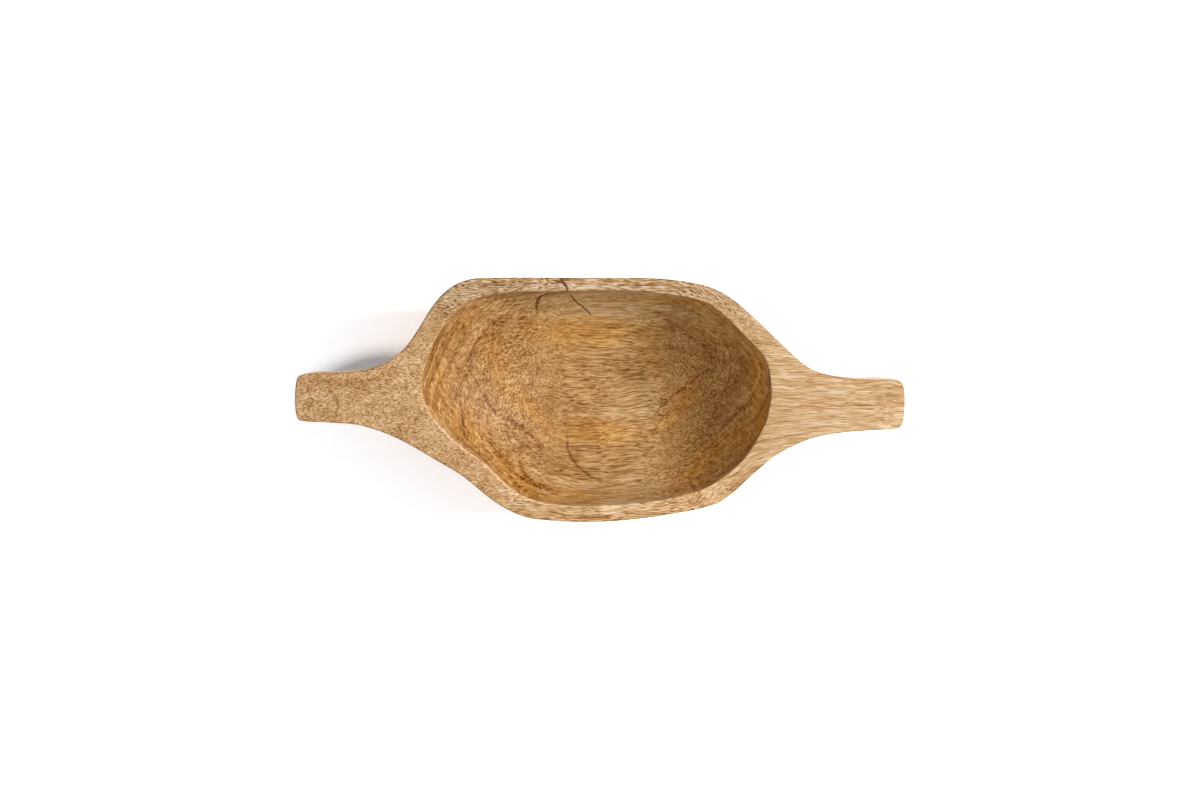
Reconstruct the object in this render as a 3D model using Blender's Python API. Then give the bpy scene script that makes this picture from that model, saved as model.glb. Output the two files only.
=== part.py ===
"""Two-handled bowl carved from one billet of wood, with the set filler in the cracks of its rim.

Frame: metres, +Z up, +X along the handles, origin under the middle of the bowl on the surface it stands on.
Every section of the bowl is a closed ring of points at the same angles, so the billet is one skin over rings:
up the hollow, across the rim and the handles, down the outside and over the foot.
"""

import math

import bmesh
import bpy
import numpy as np
from mathutils import Vector

MM = 0.001

# Driving dimensions
HEIGHT = 0.082
HOLLOW_DEPTH = 0.066
HANDLE_THICKNESS = 0.022
ROOT_DROP = 0.015  # how much lower the handle's underside is where it runs into the wall
ROOT_REACH = 0.026  # how far out from the wall that sweep starts
FOOT_HALF_LENGTH = 0.074
FOOT_HALF_WIDTH = 0.046

# Eased edges
RIM_INNER_EASE = 0.0018
RIM_OUTER_EASE = 0.0012
GRIP_EASE = 0.0035
FOOT_EASE = 0.003
FOOT_ROUNDING = ((0.55, 0.45), (1.2, 0.12), (2.0, 0))  # (inset, height) in shares of the ease
GRIP_TURNS = (math.radians(45), math.radians(80))
DIAGONAL = math.sqrt(0.5)

# Section curves
HOLLOW_POWER = 2.1  # 2 is an ellipse, more is boxier
OVAL_HALF_LENGTH = 0.126  # the hollow's plan turns into this oval on the way down
OVAL_HALF_WIDTH = 0.079
WALL_BELLY = 1.7
WALL_TURN = 0.8
WALL_REACH = 1.03  # the outside curve would close a little below the foot

# Cracks, and the filler that sets in them
SLOT_WIDTH = 0.0020
SLOT_DEPTH = 0.0042
SLOT_CLEARANCE = 0.00035
CUT_ABOVE = 0.0015  # how far the cutter stands above the skin
RIM_BREAK_OUT = 0.002  # how far the rim's cutter runs past both faces of the wall

SIDES = 104
HOLLOW_RINGS = 10
FLOOR_START = 0.12  # radians round the hollow's section from its middle to the first ring
SIDE_SHARES = (0.33, 0.67)
UNDERSIDE_SHARES = (0.2, 0.4, 0.6, 0.75, 0.88, 1.0)
WALL_RINGS = 6
CURVE_STEPS = 24
BEND_PULL = 0.03  # metres of extra length that one radian of bend counts for

# Plan of the rim's outer edge with both handles, in mm, anticlockwise from the end of the right handle
RIM_PLAN = [
    (222.6, -3), (222.0, 8), (219.2, 13.6), (212, 15.2), (190, 15.2), (171, 17.4), (158, 21.0),
    (146, 28.2), (128, 45.2), (102, 69.2), (84, 80.8), (62, 86.5), (35, 88.8), (-20, 89.2), (-74, 89.3),
    (-94, 88.0), (-108, 82.3), (-120, 70.6), (-134, 48.8), (-144, 36.0), (-158, 26.4), (-174, 21.6),
    (-196, 19.6), (-214, 19.0), (-220.2, 16.6), (-222.2, 8), (-222.6, -3), (-221.2, -13), (-216, -15.8),
    (-196, -16.9), (-174, -19.2), (-148, -28.6), (-120, -44.6), (-100, -57.0), (-78, -75.0), (-58, -85.8),
    (-38, -89.3), (-8, -90.6), (24, -88.8), (59, -83.6), (80, -78.8), (94, -72.0), (116, -51.8),
    (132, -39.2), (154, -29.0), (178, -24.2), (212, -21.8), (219.4, -20.0), (222.0, -14),
]  # fmt: skip

# Plan of the hollow at the rim, in mm
HOLLOW_PLAN = [
    (124.8, 8), (121, 28), (108.5, 43.4), (84, 66.6), (62, 75.2), (20, 79.6), (-28, 79.2), (-62, 78.6),
    (-86, 75.2), (-104, 64.4), (-119.5, 43.8), (-128, 21.8), (-129.8, 8), (-124.5, -8.8), (-107, -29.6),
    (-86, -45.6), (-66, -64.8), (-50, -73.8), (-28, -78), (2, -78.2), (38, -75), (62, -70), (82, -62.4),
    (105, -43.8), (120, -18.6), (123.6, -5),
]  # fmt: skip

# Plan of the bowl's wall under the handles, in mm
WALL_PLAN = [
    (142, -4), (140, 16), (130, 40), (102, 69.2), (84, 80.8), (62, 86.5), (35, 88.8), (-20, 89.2),
    (-74, 89.3), (-94, 88.0), (-108, 82.3), (-120, 70.6), (-133, 46), (-143, 22), (-145, 2), (-137, -20),
    (-120, -40), (-100, -56.6), (-78, -75.0), (-58, -85.8), (-38, -89.3), (-8, -90.6), (24, -88.8),
    (59, -83.6), (80, -78.8), (94, -72.0), (114, -53), (133, -28),
]  # fmt: skip

# The crack crosses the rim, as (x, y, drop below the rim) in mm, and forks down the hollow, as (degrees, depth in mm)
RIM_CRACK = [(-28.4, 88.8, 0.3), (-27.2, 87.0, 0), (-25.4, 84.2, 0), (-23.8, 81.6, 0), (-23.4, 79.7, 0.9)]
LEFT_CRACK = [(106.5, 5), (107.2, 9), (109.4, 13), (114, 16), (119, 19.4), (122.6, 26.3), (125.4, 33.6), (127, 38)]
RIGHT_CRACK = [(106.4, 21), (105.3, 27.8), (103.8, 33.7), (101.0, 39.3), (98.3, 43.3)]


def closed_curve(points, steps=CURVE_STEPS):
    """Points along a closed Catmull-Rom curve that passes through every given point."""
    p = np.array(points, float) * MM
    before, after, beyond = np.roll(p, 1, 0), np.roll(p, -1, 0), np.roll(p, -2, 0)
    t = (np.arange(steps) / steps)[None, :, None]
    a, b, c, d = before[:, None], p[:, None], after[:, None], beyond[:, None]
    bend = 2 * b + (c - a) * t + (2 * a - 5 * b + 4 * c - d) * t**2 + (3 * b - a - 3 * c + d) * t**3
    return (bend / 2).reshape(-1, 2)


def angles_of(points):
    return np.unwrap(np.arctan2(points[:, 1], points[:, 0]))


def plan_at(curve, angles):
    """The curve's points at the given polar angles. Each plan is met once by any ray from its middle."""
    turn = angles_of(curve) % (2 * math.pi)
    order = np.argsort(turn)
    reach = np.interp(angles % (2 * math.pi), turn[order], np.hypot(*curve[order].T), period=2 * math.pi)
    return np.column_stack([reach * np.cos(angles), reach * np.sin(angles)])


def spread(curve, count):
    """count points along a closed curve, closer together where it bends."""
    ends = np.vstack([curve, curve[:1]])
    step = np.diff(ends, axis=0)
    heading = np.arctan2(step[:, 1], step[:, 0])
    turn = np.abs((np.roll(heading, -1) - heading + math.pi) % (2 * math.pi) - math.pi)
    weight = np.linalg.norm(step, axis=1) + BEND_PULL * (turn + np.roll(turn, 1)) / 2
    run = np.concatenate([[0], np.cumsum(weight)])
    at = np.linspace(0, run[-1], count, endpoint=False)
    return np.column_stack([np.interp(at, run, ends[:, axis]) for axis in (0, 1)])


def outward(ring):
    """Unit normals, in plan, of a closed anticlockwise ring."""
    along = np.roll(ring, -1, 0) - np.roll(ring, 1, 0)
    normal = np.column_stack([along[:, 1], -along[:, 0]])
    return normal / np.linalg.norm(normal, axis=1)[:, None]


def raised(ring, height):
    return np.column_stack([ring, np.broadcast_to(height, len(ring))])


def oval(half_length, half_width, angles):
    """An ellipse's points at the given polar angles."""
    reach = 1 / np.hypot(np.cos(angles) / half_length, np.sin(angles) / half_width)
    return np.column_stack([reach * np.cos(angles), reach * np.sin(angles)])


def hollow_ring(plan, angles, depth):
    """The hollow's section at a depth below the rim: its plan at the rim, drawn in and rounded to an oval."""
    sunk = depth / HOLLOW_DEPTH
    share = (1 - sunk**HOLLOW_POWER) ** (1 / HOLLOW_POWER)
    rounding = sunk**2 * (3 - 2 * sunk)
    return (plan + (oval(OVAL_HALF_LENGTH, OVAL_HALF_WIDTH, angles) - plan) * rounding) * share


def wall_share(depth):
    """How much of the way from the foot out to the wall's plan the outside stands at a depth below the rim."""
    return (1 - (depth / (HEIGHT * WALL_REACH)) ** WALL_BELLY) ** WALL_TURN


def hollow_rings(plan, angles):
    """From near the middle of the floor up to the eased inner edge of the rim."""
    rings = []
    for turn in np.linspace(FLOOR_START, 0.5 * math.pi, HOLLOW_RINGS):
        depth = max(HOLLOW_DEPTH * max(math.cos(turn), 0) ** (2 / HOLLOW_POWER), RIM_INNER_EASE)
        rings.append(raised(hollow_ring(plan, angles, depth), HEIGHT - depth))
    normal = outward(plan)
    rings.append(raised(plan + normal * RIM_INNER_EASE * (1 - DIAGONAL), HEIGHT - RIM_INNER_EASE * (1 - DIAGONAL)))
    rings.append(raised(plan + normal * RIM_INNER_EASE, HEIGHT))
    return rings


def outside_rings(rim, wall, foot):
    """From the rim's outer edge down the sides, in under the handles and down the wall to the foot."""
    normal = outward(rim)
    overhang = rim - wall
    reach = np.linalg.norm(overhang, axis=1)
    near = 1 - np.clip(reach / ROOT_REACH, 0, 1)
    edge = HANDLE_THICKNESS + 0.6 * ROOT_DROP * near**2
    root = HANDLE_THICKNESS + ROOT_DROP
    grip = np.clip(reach / (3 * GRIP_EASE), 0, 1)

    def section(depth, stand):
        body = foot + (wall - foot) * wall_share(depth)[:, None]
        return body + overhang * stand

    rings = [
        raised(rim - normal * RIM_OUTER_EASE, HEIGHT),
        raised(rim - normal * RIM_OUTER_EASE * (1 - DIAGONAL), HEIGHT - RIM_OUTER_EASE * (1 - DIAGONAL)),
    ]
    for share in (0, *SIDE_SHARES, 1):
        depth = RIM_OUTER_EASE + (edge - GRIP_EASE - RIM_OUTER_EASE) * share
        rings.append(raised(section(depth, 1.0), HEIGHT - depth))
    for turn in GRIP_TURNS:
        depth = edge - GRIP_EASE * (1 - math.sin(turn))
        ring = section(depth, 1.0) - normal * (grip * GRIP_EASE * (1 - math.cos(turn)))[:, None]
        rings.append(raised(ring, HEIGHT - depth))
    eased = rings[-1][:, :2] - section(edge, 1.0)
    for share in UNDERSIDE_SHARES:
        swept = np.clip(1 - (1 - share) * np.maximum(1, reach / ROOT_REACH), 0, 1)
        depth = edge + (root - edge) * (0.1 * share + 0.9 * swept**1.8)
        ring = section(depth, 1 - share) + eased * (1 - share)
        rings.append(raised(ring, HEIGHT - depth))
    for depth in np.linspace(root, HEIGHT - FOOT_EASE, WALL_RINGS)[1:]:
        rings.append(raised(section(np.full(len(rim), depth), 0.0), HEIGHT - depth))
    sole = rings[-1][:, :2]
    for inset, height in FOOT_ROUNDING:
        rings.append(raised(sole - outward(sole) * FOOT_EASE * inset, FOOT_EASE * height))
    return rings


def skin(name, rings, middles):
    """A closed mesh over rings of equal count, with a fan from each middle point to the first and last ring."""
    mesh = bmesh.new()
    loops = [[mesh.verts.new(point) for point in ring] for ring in rings]
    count = len(loops[0])
    for low, high in zip(loops, loops[1:]):
        for i in range(count):
            j = (i + 1) % count
            mesh.faces.new((low[i], low[j], high[j], high[i]))
    for loop, middle in zip((loops[0], loops[-1]), middles):
        tip = mesh.verts.new(middle)
        for i in range(count):
            mesh.faces.new((loop[i], loop[(i + 1) % count], tip))
    bmesh.ops.recalc_face_normals(mesh, faces=mesh.faces)
    return add_object(name, mesh)


def add_object(name, mesh):
    data = bpy.data.meshes.new(name)
    mesh.to_mesh(data)
    mesh.free()
    thing = bpy.data.objects.new(name, data)
    bpy.context.scene.collection.objects.link(thing)
    return thing


def blade(name, path, ups, half_width, low, high):
    """A strip along a path: half_width to each side, from low to high along the skin's normals."""
    mesh = bmesh.new()
    path = [Vector(point) for point in path]
    sections = []
    for i, (point, up) in enumerate(zip(path, ups)):
        run = path[min(i + 1, len(path) - 1)] - path[max(i - 1, 0)]
        side = run.cross(Vector(up)).normalized() * half_width
        lift = Vector(up).normalized()
        corners = (point + side + lift * low, point + side + lift * high)
        corners += (point - side + lift * high, point - side + lift * low)
        sections.append([mesh.verts.new(corner) for corner in corners])
    for back, front in zip(sections, sections[1:]):
        for i in range(4):
            j = (i + 1) % 4
            mesh.faces.new((back[i], back[j], front[j], front[i]))
    mesh.faces.new(sections[0])
    mesh.faces.new(sections[-1])
    bmesh.ops.recalc_face_normals(mesh, faces=mesh.faces)
    return add_object(name, mesh)


def wall_path(pairs, hollow_curve):
    """Points on the hollow's skin, and its normals there, for (angle in degrees, depth in mm) pairs."""

    def skin_point(angle, depth):
        angles = np.array([angle])
        place = hollow_ring(plan_at(hollow_curve, angles), angles, depth)[0]
        return Vector((*place, HEIGHT - depth))

    points, normals = [], []
    for degrees, depth_mm in pairs:
        angle, depth, small = math.radians(degrees), depth_mm * MM, 1e-4
        here = skin_point(angle, depth)
        around = skin_point(angle + small, depth) - here
        down = skin_point(angle, depth + small) - here
        normal = down.cross(around).normalized()
        points.append(here)
        normals.append(normal if normal.dot(-Vector((here.x, here.y, -HEIGHT))) > 0 else -normal)
    return points, normals


def stretched(points, start, end):
    """The path with its two ends moved outward along it."""
    first, last = (points[0] - points[1]).normalized(), (points[-1] - points[-2]).normalized()
    return [points[0] + first * start, *points[1:-1], points[-1] + last * end]


def cut_crack(bowl, name, points, normals, break_out):
    """Cuts the crack's slot out of the bowl and leaves its filler, level with the skin, as a piece of its own."""
    path = stretched(points, SLOT_CLEARANCE + break_out, SLOT_CLEARANCE + break_out)
    cutter = blade(name + "_cutter", path, normals, SLOT_WIDTH / 2, -SLOT_DEPTH, CUT_ABOVE)
    cutter.hide_render = True
    cutter.display_type = "WIRE"
    slot = bowl.modifiers.new(name, "BOOLEAN")
    slot.operation = "DIFFERENCE"
    slot.solver = "EXACT"
    slot.object = cutter
    half = SLOT_WIDTH / 2 - SLOT_CLEARANCE
    return blade(name, points, normals, half, SLOT_CLEARANCE - SLOT_DEPTH, 0)


def material(name, colour, roughness):
    made = bpy.data.materials.new(name)
    made.use_nodes = True
    shader = made.node_tree.nodes["Principled BSDF"]
    shader.inputs["Base Color"].default_value = (*colour, 1)
    shader.inputs["Roughness"].default_value = roughness
    shader.inputs["Metallic"].default_value = 0
    return made


def main():
    for thing in list(bpy.data.objects):
        bpy.data.objects.remove(thing)

    rim = spread(closed_curve(RIM_PLAN), SIDES)
    angles = angles_of(rim)
    hollow_curve = closed_curve(HOLLOW_PLAN)
    hollow = plan_at(hollow_curve, angles)
    wall = plan_at(closed_curve(WALL_PLAN), angles)
    foot = oval(FOOT_HALF_LENGTH, FOOT_HALF_WIDTH, angles)

    rings = hollow_rings(hollow, angles) + outside_rings(rim, wall, foot)
    bowl = skin("carved_bowl", rings, ((0, 0, HEIGHT - HOLLOW_DEPTH), (0, 0, 0)))
    wood = material("mango_wood", (0.52, 0.31, 0.15), 0.6)
    bowl.data.materials.append(wood)

    rim_points = [Vector((x * MM, y * MM, HEIGHT - drop * MM)) for x, y, drop in RIM_CRACK]
    cracks = {
        "rim_crack_filler": (rim_points, [Vector((0, 0, 1))] * len(rim_points), RIM_BREAK_OUT),
        "left_wall_crack_filler": (*wall_path(LEFT_CRACK, hollow_curve), 0),
        "right_wall_crack_filler": (*wall_path(RIGHT_CRACK, hollow_curve), 0),
    }
    paste = material("crack_filler", (0.07, 0.035, 0.015), 0.5)
    for name, (points, normals, break_out) in cracks.items():
        filler = cut_crack(bowl, name, points, normals, break_out)
        filler.data.materials.append(paste)

    for thing in bpy.data.objects:
        thing.data.shade_smooth()
        thing.data.set_sharp_from_angle(angle=math.radians(40))


main()
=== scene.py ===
"""Looks of a two-handled bowl carved from one billet of mango wood, with dark filler set in its drying cracks.

Frame: metres, +Z up, +X along the handles, origin in the middle of the foot. Sizes below are in millimetres.
"""

import logging
import math
from dataclasses import dataclass, field
from enum import Enum

import bpy
import numpy as np
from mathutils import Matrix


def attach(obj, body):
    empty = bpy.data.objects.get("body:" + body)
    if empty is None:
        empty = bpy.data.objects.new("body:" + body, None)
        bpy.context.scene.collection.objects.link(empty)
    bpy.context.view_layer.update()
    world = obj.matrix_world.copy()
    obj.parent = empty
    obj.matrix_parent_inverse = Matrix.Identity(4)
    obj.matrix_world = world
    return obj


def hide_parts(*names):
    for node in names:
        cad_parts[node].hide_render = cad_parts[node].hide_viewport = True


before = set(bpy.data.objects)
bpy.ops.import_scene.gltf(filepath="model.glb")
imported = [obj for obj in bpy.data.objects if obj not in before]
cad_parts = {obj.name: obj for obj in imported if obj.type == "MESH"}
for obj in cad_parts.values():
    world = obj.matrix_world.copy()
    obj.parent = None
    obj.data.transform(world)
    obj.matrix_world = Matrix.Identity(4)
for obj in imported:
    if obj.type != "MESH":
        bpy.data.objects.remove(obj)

MM = 0.001
LOG = logging.getLogger("carved_bowl")
Colour = tuple[float, float, float]


class Slot(Enum):
    """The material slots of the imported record."""

    WOOD = "mango_wood"
    PASTE = "crack_filler"


class Node(Enum):
    """The CAD nodes that the pieces stand for."""

    BOWL = "carved_bowl"
    RIM_CRACK = "rim_crack_filler"
    LEFT_CRACK = "left_wall_crack_filler"
    RIGHT_CRACK = "right_wall_crack_filler"


# ---------------------------------------------------------------- shader helpers


class Value:
    """A number that varies over a surface: wraps a socket, so that sums and products are written as Python."""

    def __init__(self, board: "Board", socket: bpy.types.NodeSocket) -> None:
        """Keeps the socket and the board that new Math nodes go on."""
        self.board = board
        self.socket = socket

    def math(self, operation: str, *others: "Value | float") -> "Value":
        """A Math node.

        Args:
            operation: the node's operation.
            others: the second and third operands.

        Returns:
            The node's result.
        """
        inputs = dict(enumerate((self, *others)))
        return self.board.node("ShaderNodeMath", {"operation": operation}, inputs)

    def flipped(self, operation: str, other: float) -> "Value":
        """The same, with the operands the other way round."""
        return self.board.node("ShaderNodeMath", {"operation": operation}, {0: other, 1: self})

    def __add__(self, other: "Value | float") -> "Value":
        """self + other."""
        return self.math("ADD", other)

    def __sub__(self, other: "Value | float") -> "Value":
        """self - other."""
        return self.math("SUBTRACT", other)

    def __mul__(self, other: "Value | float") -> "Value":
        """self * other."""
        return self.math("MULTIPLY", other)

    def __truediv__(self, other: "Value | float") -> "Value":
        """self / other."""
        return self.math("DIVIDE", other)

    def __rsub__(self, other: float) -> "Value":
        """other - self."""
        return self.flipped("SUBTRACT", other)

    __radd__ = __add__
    __rmul__ = __mul__

    def power(self, exponent: float) -> "Value":
        """self to a power."""
        return self.math("POWER", exponent)

    def clipped(self) -> "Value":
        """self held between 0 and 1."""
        return self.math("MAXIMUM", 0.0).math("MINIMUM", 1.0)

    def step(self, low: float, high: float) -> "Value":
        """A soft step.

        Args:
            low: where it starts, at 0.
            high: where it ends, at 1. Below low, the step falls instead of rising.

        Returns:
            The smooth step of self from low to high.
        """
        if low > high:
            return 1.0 - self.step(high, low)
        settings = {"interpolation_type": "SMOOTHSTEP", "clamp": True}
        return self.board.node("ShaderNodeMapRange", settings, {"Value": self, "From Min": low, "From Max": high})

    def hump(self, middle: float, spread: float) -> "Value":
        """1 at middle, falling smoothly to 0 at spread to each side."""
        return (self - middle).math("ABSOLUTE").step(spread, 0.0)


Input = "Value | bpy.types.NodeSocket | float | tuple"


class Board:
    """The node tree of one material."""

    def __init__(self, name: str) -> None:
        """Makes the material with an empty Principled shader on it."""
        self.material = bpy.data.materials.new(name)
        self.material.use_nodes = True
        self.tree = self.material.node_tree
        self.shader = self.tree.nodes["Principled BSDF"]

    def node(self, kind: str, settings: dict, inputs: dict, output: int | str = 0) -> Value:
        """Adds any node.

        Args:
            kind: the node's type.
            settings: its properties, set before its sockets. "stops" fills a colour ramp.
            inputs: socket name or number to a value or a link.
            output: the socket that is handed back.

        Returns:
            The output, wrapped.
        """
        made = self.tree.nodes.new(kind)
        for name, setting in settings.items():
            if name == "stops":
                self.fill_ramp(made.color_ramp, setting)
            else:
                setattr(made, name, setting)
        for name, value in inputs.items():
            self.feed(made.inputs[name], value)
        return Value(self, made.outputs[output])

    def fill_ramp(self, ramp: bpy.types.ColorRamp, stops: list[tuple[float, Colour]]) -> None:
        """Puts the stops on a colour ramp."""
        while len(ramp.elements) < len(stops):
            ramp.elements.new(0.5)
        for element, (place, colour) in zip(ramp.elements, stops):
            element.position = place
            element.color = (*colour, 1.0)

    def feed(self, socket: bpy.types.NodeSocket, value: Input) -> None:
        """Links or sets one input socket."""
        if isinstance(value, Value):
            self.tree.links.new(value.socket, socket)
        elif isinstance(value, tuple) and len(value) == 3 and socket.type == "RGBA":
            socket.default_value = (*value, 1.0)
        else:
            socket.default_value = value

    def vector(self, x: Input, y: Input, z: Input) -> Value:
        """A vector from three numbers."""
        return self.node("ShaderNodeCombineXYZ", {}, {0: x, 1: y, 2: z})

    def parts(self, vector: Value) -> tuple[Value, Value, Value]:
        """The three numbers of a vector."""
        made = self.tree.nodes.new("ShaderNodeSeparateXYZ")
        self.tree.links.new(vector.socket, made.inputs[0])
        return tuple(Value(self, socket) for socket in made.outputs)

    def noise(self, place: Value, scale: float, detail: float = 1.0, rough: float = 0.5, colour: bool = False) -> Value:
        """Smooth noise.

        Args:
            place: the point it is read at.
            scale: its frequency.
            detail: the number of finer layers.
            rough: how strong those are.
            colour: whether three independent numbers are wanted.

        Returns:
            A number around 0.5, or a vector of three.
        """
        settings = {"noise_dimensions": "3D", "normalize": True}
        inputs = {"Vector": place, "Scale": scale, "Detail": detail, "Roughness": rough}
        return self.node("ShaderNodeTexNoise", settings, inputs, "Color" if colour else 0)

    def blend(self, share: Input, first: Input, second: Input, kind: str = "MIX") -> Value:
        """Mixes two colours."""
        settings = {"data_type": "RGBA", "blend_type": kind, "clamp_factor": True}
        made = self.tree.nodes.new("ShaderNodeMix")
        for name, setting in settings.items():
            setattr(made, name, setting)
        for index, value in ((0, share), (6, first), (7, second)):
            self.feed(made.inputs[index], value)
        return Value(self, made.outputs[2])

    def finish(self, varying: dict[str, Input], fixed: dict[str, float]) -> bpy.types.Material:
        """Feeds the shader.

        Args:
            varying: socket name to what changes over the surface.
            fixed: socket name to one number for the whole surface.

        Returns:
            The material.
        """
        for name, value in (varying | fixed).items():
            self.feed(self.shader.inputs[name], value)
        return self.material


@dataclass(frozen=True)
class Patch:
    """An oval seen from above, a stain in the wood or the floor's painted shadow: middle, half sizes and turn in
    degrees.
    """

    x: float
    y: float
    long: float
    wide: float
    turn: float
    weight: float

    def cover(self, x: Value, y: Value) -> Value:
        """1 less the squared distance from the middle, measured in half sizes, and never below 0.

        Args:
            x: the place's x in mm.
            y: its y in mm.

        Returns:
            The cover, at most the patch's weight.
        """
        c, s = math.cos(math.radians(self.turn)), math.sin(math.radians(self.turn))
        dx, dy = x - self.x, y - self.y
        across = (dx * (c / self.long) + dy * (s / self.long)).power(2.0)
        along = (dy * (c / self.wide) - dx * (s / self.wide)).power(2.0)
        return (1.0 - across - along).clipped() * self.weight


@dataclass(frozen=True)
class Vein:
    """A dark growth line, as seen from above: an arc of a circle through three points."""

    start: tuple[float, float]
    middle: tuple[float, float]
    end: tuple[float, float]
    width: float
    weight: float

    def cover(self, x: Value, y: Value) -> Value:
        """How near the arc is: its circle comes from the perpendicular bisectors of its two chords.

        Args:
            x: the place's x in mm.
            y: its y in mm.

        Returns:
            The cover, at most the vein's weight.
        """
        (ax, ay), (bx, by), (cx, cy) = self.start, self.middle, self.end
        d = 2 * (ax * (by - cy) + bx * (cy - ay) + cx * (ay - by))
        a, b, c = ax * ax + ay * ay, bx * bx + by * by, cx * cx + cy * cy
        ox = (a * (by - cy) + b * (cy - ay) + c * (ay - by)) / d
        oy = (a * (cx - bx) + b * (ax - cx) + c * (bx - ax)) / d
        radius = math.hypot(ax - ox, ay - oy)
        half = 0.5 * math.hypot(cx - ax, cy - ay)
        off = ((x - ox).power(2.0) + (y - oy).power(2.0)).power(0.5) - radius
        mx, my = 0.5 * (ax + cx), 0.5 * (ay + cy)
        away = ((x - mx).power(2.0) + (y - my).power(2.0)).power(0.5)
        across = off.math("ABSOLUTE").step(self.width * 1.2, 0.0)
        return across * away.step(1.1 * half, 0.75 * half) * self.weight


def strongest(marks: tuple[Patch | Vein, ...], x: Value, y: Value) -> Value:
    """The strongest cover of some patches or veins."""
    total = marks[0].cover(x, y)
    for mark in marks[1:]:
        total = total.math("MAXIMUM", mark.cover(x, y))
    return total


@dataclass(frozen=True)
class Ground:
    """What the wood's finish knows of a place.

    place is in mm and scaled is the same as one vector. slow and quick are three noises each around 0. upper is 1 above
    the foot, and inside is 1 in the hollow.
    """

    board: Board
    scaled: Value
    place: tuple[Value, Value, Value]
    normal: tuple[Value, Value, Value]
    lip: Value
    edge: Value
    slow: tuple[Value, Value, Value]
    quick: tuple[Value, Value, Value]
    upper: Value
    inside: Value


@dataclass(frozen=True)
class Figure:
    """The wood's marks at a place: noises around 0.5, but grain around 0 and the rest from 0 to 1."""

    outside: Value
    ends: Value
    curled: Value
    grain: Value
    deep: Value
    streaks: Value
    rings: Value
    bands: Value
    scrapes: Value
    clouds: Value


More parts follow.
